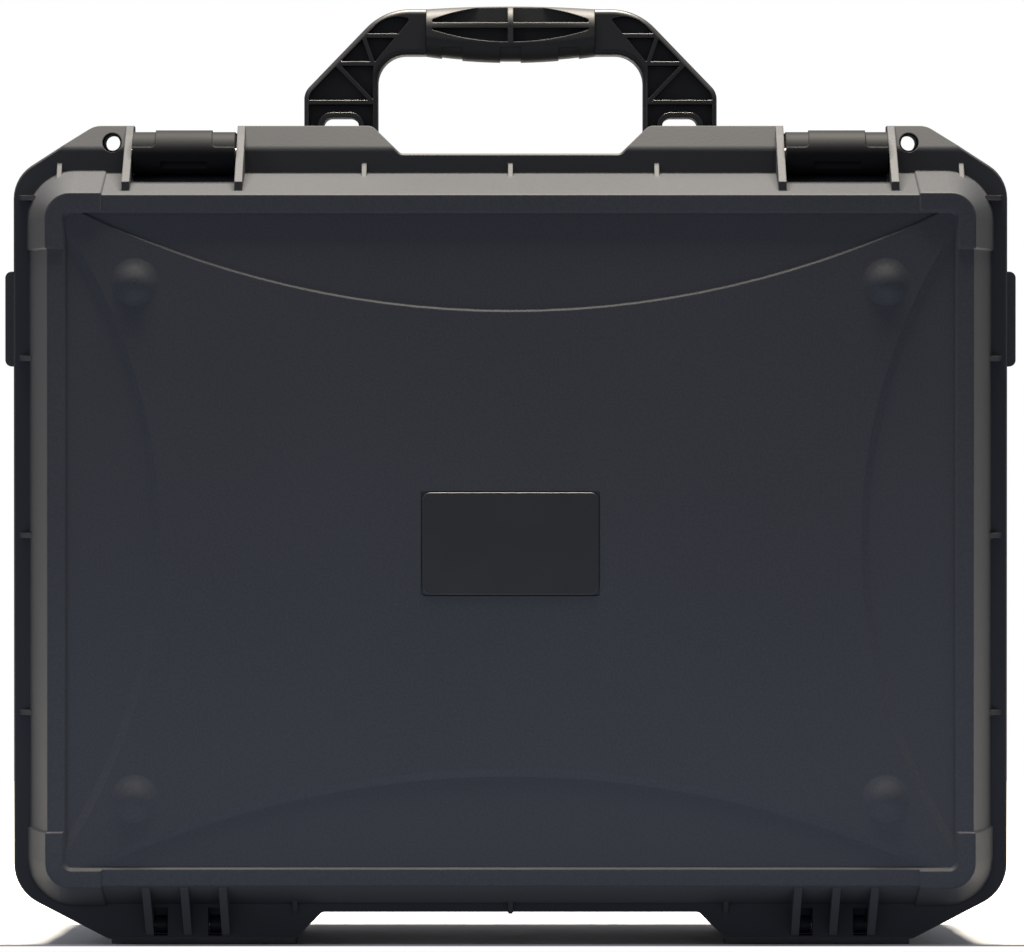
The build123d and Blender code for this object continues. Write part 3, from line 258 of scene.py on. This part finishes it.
flange_span = (FLANGE_FRONT - BLEND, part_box("base_shell")[0].y + FLANGE_DEPTH)
lid_points = [tuple(round(v, 5) for v in vertex.co) for vertex in parts["lid_shell"].data.vertices]
lid_front = min(y for x, y, z in lid_points)
boss_tops = sorted({point for point in lid_points if point[1] == lid_front})
shell_plastic = moulded_plastic(
    "shell_plastic",
    level=0.030,
    rough=0.60,
    grain=0.0010,
    edge_wear_and_highlight=0.050,
    shine=0.25,
    polished_and_shaded=flange_span,
    tips=boss_tops,
)
latch_plastic = moulded_plastic(
    "latch_plastic", level=0.009, rough=0.60, grain=0.0007, edge_wear_and_highlight=0.016, shine=0.10
)
handle_plastic = moulded_plastic("handle_plastic", level=0.007, rough=0.42, grain=0.0007, edge_wear_and_highlight=0.016)
vent_plastic = moulded_plastic("vent_plastic", level=0.010, rough=0.40, grain=0.0006, edge_wear_and_highlight=0.02)
print("moulded plastics:", shell_plastic.name, latch_plastic.name, handle_plastic.name, vent_plastic.name)
print(f"{len(boss_tops)} boss tops at y = {lid_front:.4f} m")

# %% [markdown]
# ## Rubber, the label plate and steel
# The grip, the seals and the foot strips are rubber, which is matt and takes a dusty bloom; its sharp
# edges are painted paler as a highlight. The plate in the middle of the lid is a smooth lacquered blank
# whose bevelled edge is painted bright as a highlight. The pins are ground steel, so their fine scratches
# run round the pin. An anisotropic shader could stand for the scratches, but it shows none of them close
# up.
# Stretched noise does: it is long one way and short the other.

# %% Make the rubbers, the plate and the steel
RUBBER_EDGE = 0.0008
PLATE_EDGE = 0.0003
SCRATCHES = (5200.0, 120.0, 120.0)  # to a metre, along the pin and across it


def rubber(name, level, bloom, rough=0.78):
    """Matt rubber with pale bloom in patches, and sharp edges painted paler as a highlight."""
    finish = Finish(name)
    patches = finish.noise(35.0, 4.0, 0.6)
    grit = finish.noise(1500.0, 2.0)
    normal, edge = finish.soft_edges(RUBBER_EDGE)
    tone = finish.mix(finish.remap(patches, 0.0, 1.0, 0.35, 0.7), grey(level, 0.02), grey(bloom, 0.02))
    # Painted highlight: sharp edges are made paler.
    tone = finish.mix(finish.combine(edge, 0.5, "MULTIPLY"), tone, grey(bloom * 1.5, 0.01))
    finish.shade(
        {
            "Base Color": tone,
            "Roughness": finish.remap(patches, rough - 0.06, rough + 0.08),
            "IOR": 1.5,
            "Normal": finish.bump(grit, 0.3, 0.0002, normal),
        }
    )
    return finish.material


def lacquered_plate(name):
    """Smooth black plate whose bevelled edge is painted bright as a highlight."""
    finish = Finish(name)
    normal, edge = finish.soft_edges(PLATE_EDGE)
    haze = finish.noise(55.0, 4.0)
    tone = finish.mix(haze, grey(0.014, 0.03), grey(0.018, 0.04))
    finish.shade(
        {
            # Painted highlight: the bevelled edge is given a bright colour.
            "Base Color": finish.mix(edge, tone, grey(0.10, 0.01)),
            "Roughness": finish.remap(haze, 0.30, 0.38),
            "IOR": 1.5,
            "Normal": finish.bump(finish.noise(900.0, 2.0), 0.12, 0.0001, normal),
        }
    )
    return finish.material


def ground_steel(name):
    """Steel rod with scratches round it. The rods lie along X."""
    finish = Finish(name)
    scratches = finish.noise(1.0, 3.0, 0.6, finish.stretch(SCRATCHES))
    stain = finish.noise(160.0, 3.0)
    finish.shade(
        {
            "Base Color": finish.mix(stain, (0.46, 0.45, 0.44, 1.0), (0.62, 0.61, 0.59, 1.0)),
            "Metallic": 1.0,
            "Roughness": finish.remap(scratches, 0.22, 0.42),
            "Normal": finish.bump(scratches, 0.25, 0.0001),
        }
    )
    return finish.material


grip_rubber = rubber("grip_rubber", level=0.008, bloom=0.013, rough=0.58)
seal_rubber = rubber("seal_rubber", level=0.015, bloom=0.030)
foot_rubber = rubber("foot_rubber", level=0.040, bloom=0.065)
plate_lacquer = lacquered_plate("plate_lacquer")
pin_steel = ground_steel("pin_steel")
print("rubbers:", grip_rubber.name, seal_rubber.name, foot_rubber.name)
print("plate and steel:", plate_lacquer.name, pin_steel.name)

# %% [markdown]
# ## Dress the solids
# A solid whose shape is right needs only its finish. The record says which slot each solid belongs to, so
# one table from slot to material dresses them all, and a part that is added later follows its slot.

# %% Give each solid its finish
FINISHES = {
    "shell": shell_plastic,
    "latch": latch_plastic,
    "handle": handle_plastic,
    "grip": grip_rubber,
    "plate": plate_lacquer,
    "steel": pin_steel,
    "seal": seal_rubber,
    "foot": foot_rubber,
    "vent": vent_plastic,
}
dressed = 0
for subpart in frame["record"]["subparts"]:
    material = FINISHES.get(subpart["material_slot"])
    if material:
        mesh = parts[subpart["node"]].data
        mesh.materials.clear()
        mesh.materials.append(material)
        dressed += 1
print(f"{dressed} solids dressed")

# %% [markdown]
# ## Foam
# Inside lie three pieces of open-cell foam: an egg-crate sheet in the lid, a thick sheet in the base with
# a pocket cut for each thing it carries, and a pad under the pockets. They are soft, so their edges are
# never sharp. The cells are far too small to model: a bump from Voronoi cells and a speckle of colour
# stand for them.

# %% Make the foam finish
CELL = 0.0011  # width of a foam cell


def open_cell_foam(name):
    """Dark foam with a speckle of cells."""
    finish = Finish(name)
    sockets = {"Vector": finish.place, "Scale": 1.0 / CELL, "Randomness": 1.0}
    cells = finish.add("ShaderNodeTexVoronoi", sockets).outputs["Distance"]
    mottle = finish.noise(70.0, 4.0, 0.6)
    tone = finish.mix(finish.remap(cells, 0.0, 1.0, 0.1, 0.7), grey(0.012, 0.02), grey(0.06, 0.03))
    tone = finish.mix(finish.remap(mottle, 0.0, 0.5, 0.3, 0.8), tone, grey(0.045, 0.02))
    finish.shade(
        {
            "Base Color": tone,
            "Roughness": 0.95,
            "Specular IOR Level": 0.25,
            "Sheen Weight": 0.15,
            "Sheen Roughness": 0.6,
            "Normal": finish.bump(finish.combine(cells, mottle), 0.6, CELL * 0.5),
        }
    )
    return finish.material


foam = open_cell_foam("foam")
print("foam finish:", foam.name)

# %% [markdown]
# ## From a mesh to a soft piece
# Each foam piece is made as a bare mesh and then takes the place of a plain solid. It rides on the same
# body as that solid, so that it moves with the lid or stays with the base. Two helpers do what is the
# same for all three: one welds the mesh and turns its faces outwards, the other puts it in the scene.

# %% Helpers for soft pieces
WELD = 1e-6


def clean(mesh):
    """Weld doubled corners and turn all faces outwards."""
    work = bmesh.new()
    work.from_mesh(mesh)
    bmesh.ops.remove_doubles(work, verts=work.verts, dist=WELD)
    bmesh.ops.recalc_face_normals(work, faces=work.faces)
    work.to_mesh(mesh)
    work.free()


def place_soft(mesh, node, body):
    """Put a soft mesh in the scene in place of its plain solid."""
    mesh.materials.clear()
    mesh.materials.append(foam)
    for face in mesh.polygons:
        face.use_smooth = True
    piece = bpy.data.objects.new(f"soft_{node}", mesh)
    bpy.context.scene.collection.objects.link(piece)
    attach(piece, body)
    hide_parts(node)
    return piece


print("soft pieces are welded to", WELD, "m")

# %% [markdown]
# ## Foam sheet with pockets
# A flat curve in Blender can hold several closed loops: the outer one is filled and the inner ones become
# holes. Its extrude and bevel settings then give the sheet its thickness and round every lip at once,
# which a bevel on a mesh with so many corners does less cleanly. The pockets are the openings that the
# record states. The outline is then drawn in towards the back, as the walls of the base are.

# %% Write the pocketed sheet
LIP = 0.0022  # rounding of the cut edges
LIP_STEPS = 3
CORNER_STEPS = 8


def rounded_loop(left, right, low, high, corner):
    """Points of a rectangle with round corners, counter-clockwise."""
    points = []
    for x, z, start in ((right, low, -90), (right, high, 0), (left, high, 90), (left, low, 180)):
        middle_x = x - corner if x == right else x + corner
        middle_z = z - corner if z == high else z + corner
        for i in range(CORNER_STEPS + 1):
            turn = math.radians(start + 90 * i / CORNER_STEPS)
            points.append((middle_x + corner * math.cos(turn), middle_z + corner * math.sin(turn)))
    return points


def thick_sheet(name, loops, front, back):
    """Mesh of a sheet between two depths, with round lips on its outline and on its holes."""
    curve = bpy.data.curves.new(name, "CURVE")
    curve.dimensions = "2D"
    curve.fill_mode = "BOTH"
    curve.extrude = (back - front) / 2 - LIP
    curve.bevel_depth = LIP
    curve.bevel_resolution = LIP_STEPS
    curve.offset = -LIP
    for loop in loops:
        spline = curve.splines.new("POLY")
        spline.points.add(len(loop) - 1)
        for point, (x, z) in zip(spline.points, loop):
            point.co = (x, z, 0, 1)
        spline.use_cyclic_u = True
    shape = bpy.data.objects.new(name, curve)
    bpy.context.scene.collection.objects.link(shape)
    bpy.context.view_layer.update()
    mesh = bpy.data.meshes.new_from_object(shape.evaluated_get(bpy.context.evaluated_depsgraph_get()))
    bpy.data.objects.remove(shape)
    mesh.transform(Matrix.Translation((0, (front + back) / 2, 0)) @ Matrix.Rotation(math.pi / 2, 4, "X"))
    mesh.name = name
    return mesh


print(f"lips of {LIP * 1000:.1f} mm in {LIP_STEPS} steps")

# %% [markdown]
# ## The pockets
# The record gives each opening as a box that stays free, and the pocket round it is a little larger. Only
# the points outside all pockets belong to the outline, so only those are drawn in.

# %% Shape the pocketed sheet
POCKET_CORNER = 0.012
POCKET_MARGIN = 0.0036  # the stated openings are this much smaller than the pockets
SHEET_CORNER = 0.0165
BASE_DRAFT = math.radians(4.3)
DRAFT_START = 0.008  # the outline runs straight for this much at the front

sheet_low, sheet_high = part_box("base_foam_insert")
loops = [rounded_loop(sheet_low.x, sheet_high.x, sheet_low.z, sheet_high.z, SHEET_CORNER)]
openings = frame["record"]["physics"]["openings"]
pockets = [opening["box_m"] for opening in openings if "pocket" in opening["name"]]
for low, high in pockets:
    across = (low[0] - POCKET_MARGIN, high[0] + POCKET_MARGIN)
    upright = (low[2] - POCKET_MARGIN, high[2] + POCKET_MARGIN)
    loops.append(rounded_loop(*across, *upright, POCKET_CORNER))
sheet = thick_sheet("pocket_sheet", loops, sheet_low.y, sheet_high.y)
clean(sheet)

edge_x = max(high[0] for low, high in pockets) + 2 * POCKET_MARGIN
edge_high = max(high[2] for low, high in pockets) + 2 * POCKET_MARGIN
edge_low = min(low[2] for low, high in pockets) - 2 * POCKET_MARGIN
for vertex in sheet.vertices:
    draw_in = max(vertex.co.y - sheet_low.y - DRAFT_START, 0.0) * math.tan(BASE_DRAFT)
    if abs(vertex.co.x) > edge_x:
        vertex.co.x -= math.copysign(draw_in, vertex.co.x)
    if vertex.co.z > edge_high:
        vertex.co.z -= draw_in
    if vertex.co.z < edge_low:
        vertex.co.z += draw_in
pocket_sheet = place_soft(sheet, "base_foam_insert", "base")
print(f"{pocket_sheet.name}: {len(pockets)} pockets, {len(sheet.polygons)} faces")

# %% [markdown]
# ## A sheet with a shaped side
# The egg-crate sheet and the pad under the pockets are both height fields: a grid of points whose depth
# is a formula. A subdivided plane with a displace modifier could do the same, but it has no back and no
# edge. Here two grids, one shaped and one flat, are joined round their rims, so that each sheet is
# closed. Its rim is rounded, its corner points are drawn in onto a round corner, and the flat side is a
# little smaller, like the shell around it.

# %% Write the shaped sheet
GRID_STEP = 0.0036
EDGE_ROUND = 0.004


def into_round_corner(x, z, half_x, half_z, corner):
    """Draw a point in if it lies outside the round corner of a rectangle about the middle."""
    over_x = abs(x) - (half_x - corner)
    over_z = abs(z) - (half_z - corner)
    reach = math.hypot(over_x, over_z)
    if over_x <= 0 or over_z <= 0 or reach <= corner:
        return x, z
    share = corner / reach
    return (
        math.copysign(half_x - corner + over_x * share, x),
        math.copysign(half_z - corner + over_z * share, z),
    )


def height_sheet(name, low, high, corner, depth_of, faces_back, taper):
    """Closed sheet with a flat side and a shaped side. depth_of gives how far the shaped side is sunk, and
    taper how much the flat side is drawn in for each unit of thickness."""
    half_x, half_z = (high.x - low.x) / 2, (high.z - low.z) / 2
    middle_x, middle_z = (high.x + low.x) / 2, (high.z + low.z) / 2
    columns, rows = round(2 * half_x / GRID_STEP), round(2 * half_z / GRID_STEP)
    shaped, flat = (high.y, low.y) if faces_back else (low.y, high.y)
    sink = -1 if faces_back else 1
    draw_in = (high.y - low.y) * taper

    def shaped_point(x, z):
        rim = min(half_x - abs(x), half_z - abs(z), EDGE_ROUND)
        fall = EDGE_ROUND - math.sqrt(EDGE_ROUND**2 - (EDGE_ROUND - rim) ** 2)
        return (middle_x + x, shaped + sink * (depth_of(x, z) + fall), middle_z + z)

    def flat_point(x, z):
        return (middle_x + x * (1 - draw_in / half_x), flat, middle_z + z * (1 - draw_in / half_z))

    work = bmesh.new()
    rims = []
    for point_at in (shaped_point, flat_point):
        grid = []
        for j in range(rows + 1):
            line = []
            for i in range(columns + 1):
                x, z = half_x * (2 * i / columns - 1), half_z * (2 * j / rows - 1)
                line.append(work.verts.new(point_at(*into_round_corner(x, z, half_x, half_z, corner))))
            grid.append(line)
        for j in range(rows):
            for i in range(columns):
                work.faces.new((grid[j][i], grid[j][i + 1], grid[j + 1][i + 1], grid[j + 1][i]))
        right, left = [line[-1] for line in grid], [line[0] for line in grid]
        rims.append(grid[0] + right[1:] + grid[-1][-2::-1] + left[-2:0:-1])
    for i in range(len(rims[0])):
        work.faces.new((rims[0][i - 1], rims[0][i], rims[1][i], rims[1][i - 1]))
    mesh = bpy.data.meshes.new(name)
    work.to_mesh(mesh)
    work.free()
    clean(mesh)
    return mesh


print(f"shaped sheets have points {GRID_STEP * 1000:.1f} mm apart")

# %% [markdown]
# ## Egg-crate sheet and the pad under the pockets
# For the lid the depth is a product of two sines, which gives rows of soft pegs that press on what lies
# in the pockets. For the pad it is a slow noise, as in foam that has been pressed and let go.

# %% Shape the two sheets
PEG_PITCH = 0.029
PEG_HEIGHT = 0.013
PAD_SINK = 0.0009
PAD_WAVE = 0.0008
PAD_WAVES = 30  # to a metre
LID_TAPER = 0.18
PAD_TAPER = 0.075


def peg_depth(x, z):
    wave = math.sin(2 * math.pi * x / PEG_PITCH) * math.sin(2 * math.pi * z / PEG_PITCH)
    return PEG_HEIGHT * (0.5 - 0.5 * wave)


def pad_depth(x, z):
    return PAD_SINK + PAD_WAVE * noise.noise(Vector((x * PAD_WAVES, 0.0, z * PAD_WAVES)))


crate = height_sheet("egg_crate", *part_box("lid_foam"), SHEET_CORNER, peg_depth, True, LID_TAPER)
egg_crate = place_soft(crate, "lid_foam", "lid")
pad = height_sheet("under_pad", *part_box("base_foam_pad"), SHEET_CORNER, pad_depth, False, PAD_TAPER)
under_pad = place_soft(pad, "base_foam_pad", "base")
print(f"{egg_crate.name}: {len(crate.polygons)} faces; {under_pad.name}: {len(pad.polygons)} faces")

# %% [markdown]
# ## The floor
# The case stands at the edge of a thin pale board with the lid towards the drop, so that the lid has room
# to swing down. A scaled cube would do for a board, but its front edge would be sharp. One profile, swept
# sideways, gives the top, a rounded front edge and the underside.

# %% Sweep the floor
FLOOR_WIDTH = 4.4
FLOOR_BACK = 1.3
BOARD = 0.0010  # thickness
BOARD_ROUND = 0.0004
BOARD_STEPS = 8  # in the rounded edge
BOARD_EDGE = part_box("foot_pad_front_left")[0].y - 0.001

profile = [(FLOOR_BACK, 0.0)]
for i in range(BOARD_STEPS + 1):
    turn = math.radians(90 * i / BOARD_STEPS)
    profile.append((BOARD_EDGE + BOARD_ROUND * (1 - math.sin(turn)), BOARD_ROUND * (math.cos(turn) - 1)))
profile.append((BOARD_EDGE, -BOARD))
profile.append((FLOOR_BACK, -BOARD))

work = bmesh.new()
ends = [[work.verts.new((x, y, z)) for y, z in profile] for x in (-FLOOR_WIDTH / 2, FLOOR_WIDTH / 2)]
for i in range(len(profile) - 1):
    work.faces.new((ends[0][i], ends[0][i + 1], ends[1][i + 1], ends[1][i]))
bmesh.ops.recalc_face_normals(work, faces=work.faces)
floor_mesh = bpy.data.meshes.new("studio_floor")
work.to_mesh(floor_mesh)
work.free()
floor = bpy.data.objects.new("studio_floor", floor_mesh)
bpy.context.scene.collection.objects.link(floor)

paper = Finish("floor_paper")
fibre = paper.noise(240.0, 4.0)
paper.shade(
    {
        "Base Color": paper.mix(fibre, (0.86, 0.86, 0.86, 1.0), (0.90, 0.90, 0.895, 1.0)),
        "Roughness": 0.9,
        "Specular IOR Level": 0.1,
    }
)
floor_mesh.materials.append(paper.material)
print(f"floor with its edge at y = {BOARD_EDGE:.4f} m")

# %% [markdown]
# ## Studio light
# The photograph looks lit by a warm strip above the case. It makes the tops of the walls pale and leaves
# the face of the lid dark, with a little cool light on its lower half, as if thrown up from the floor in
# front. A single sky could light the case evenly, but then the black plastic would look flat. So there
# are three soft area lights: the strip, a weak card at floor level and a weak fill from the left. No lamp
# is seen itself.

# %% Set up the lights
CARD_Y = -0.30
MIDDLE = Vector((0.0, 0.0, (cad_low.z + cad_high.z) / 2))
ABOVE_CARD = Vector((0.0, CARD_Y, 1.0))
TOP_WALL = Vector((0.0, FLANGE_FRONT, cad_high.z))
WARM = (1.0, 0.92, 0.79)
COOL = (0.78, 0.84, 1.0)
COOLER = (0.74, 0.83, 1.0)


def softbox(name, place, width, height, power, colour, target):
    """Area light of a width and a height in metres and a power in watts, turned to a target."""
    light = bpy.data.lights.new(name, "AREA")
    light.shape = "RECTANGLE"
    light.size = width
    light.size_y = height
    light.energy = power
    light.color = colour
    lamp = bpy.data.objects.new(name, light)
    lamp.location = place
    lamp.rotation_euler = (target - Vector(place)).to_track_quat("-Z", "Y").to_euler()
    lamp.visible_camera = False
    bpy.context.scene.collection.objects.link(lamp)
    return lamp


lamps = [
    softbox("top_light", (0.0, -0.04, 1.9), 1.1, 0.5, 168.0, WARM, TOP_WALL),
    softbox("bounce_card", (0.0, CARD_Y, 0.0), 1.0, 0.34, 1.7, COOLER, ABOVE_CARD),
    softbox("left_fill", (-1.6, -1.5, 1.0), 0.5, 0.9, 5.0, COOL, MIDDLE),
]
print("soft lights:", ", ".join(f"{lamp.name} {lamp.data.energy:.1f} W" for lamp in lamps))

# %% [markdown]
# ## The sky
# The background of the photograph is plain white. A white sky would also light the case from all sides
# and grey the plastic, so the sky is white only where the camera looks straight at it, and much dimmer as
# a light. The light path node tells the two apart.

# %% Make the sky
SKY_TINT = (0.88, 0.91, 1.0, 1.0)
SKY_STRENGTH = 0.26
WHITE = (1.0, 1.0, 1.0, 1.0)

world = bpy.data.worlds.new("studio_sky")
bpy.context.scene.world = world
world.use_nodes = True
sky = world.node_tree
glow = sky.nodes["Background"]
glow.inputs["Color"].default_value = SKY_TINT
glow.inputs["Strength"].default_value = SKY_STRENGTH
backdrop = sky.nodes.new("ShaderNodeBackground")
backdrop.inputs["Color"].default_value = WHITE
seen = sky.nodes.new("ShaderNodeLightPath")
choose = sky.nodes.new("ShaderNodeMixShader")
sky.links.new(seen.outputs["Is Camera Ray"], choose.inputs["Fac"])
sky.links.new(glow.outputs["Background"], choose.inputs[1])
sky.links.new(backdrop.outputs["Background"], choose.inputs[2])
sky.links.new(choose.outputs["Shader"], sky.nodes["World Output"].inputs["Surface"])
bpy.context.scene.view_settings.view_transform = "Standard"
print(f"{world.name} lights at {SKY_STRENGTH} of its white")

# %% [markdown]
# ## Camera
# The photograph seems to be taken from about three metres, square to the lid, with a long lens a little
# above the middle of the case. The lens could be found by trial, but the width of the view at the flange
# gives it: the sensor's width is to the lens as the view's width is to the distance.

# %% Place the camera
DISTANCE = 3.0  # from the flange
VIEW_WIDTH = 0.4659  # across the picture, at the flange
EYE_HEIGHT = 0.2448
LOOK_HEIGHT = 0.2148
SIDESTEP = 0.0007
SENSOR = 36.0  # millimetres
FAR = 60.0

lens = bpy.data.cameras.new("camera")
lens.sensor_width = SENSOR
lens.lens = SENSOR * DISTANCE / VIEW_WIDTH
lens.clip_end = FAR
camera = bpy.data.objects.new("camera", lens)
camera.location = (SIDESTEP, FLANGE_FRONT - DISTANCE, EYE_HEIGHT)
target = Vector((SIDESTEP, FLANGE_FRONT, LOOK_HEIGHT))
camera.rotation_euler = (target - camera.location).to_track_quat("-Z", "Y").to_euler()
bpy.context.scene.collection.objects.link(camera)
bpy.context.scene.camera = camera
print(f"lens {lens.lens:.0f} mm")

# %% [markdown]
# ## Finish
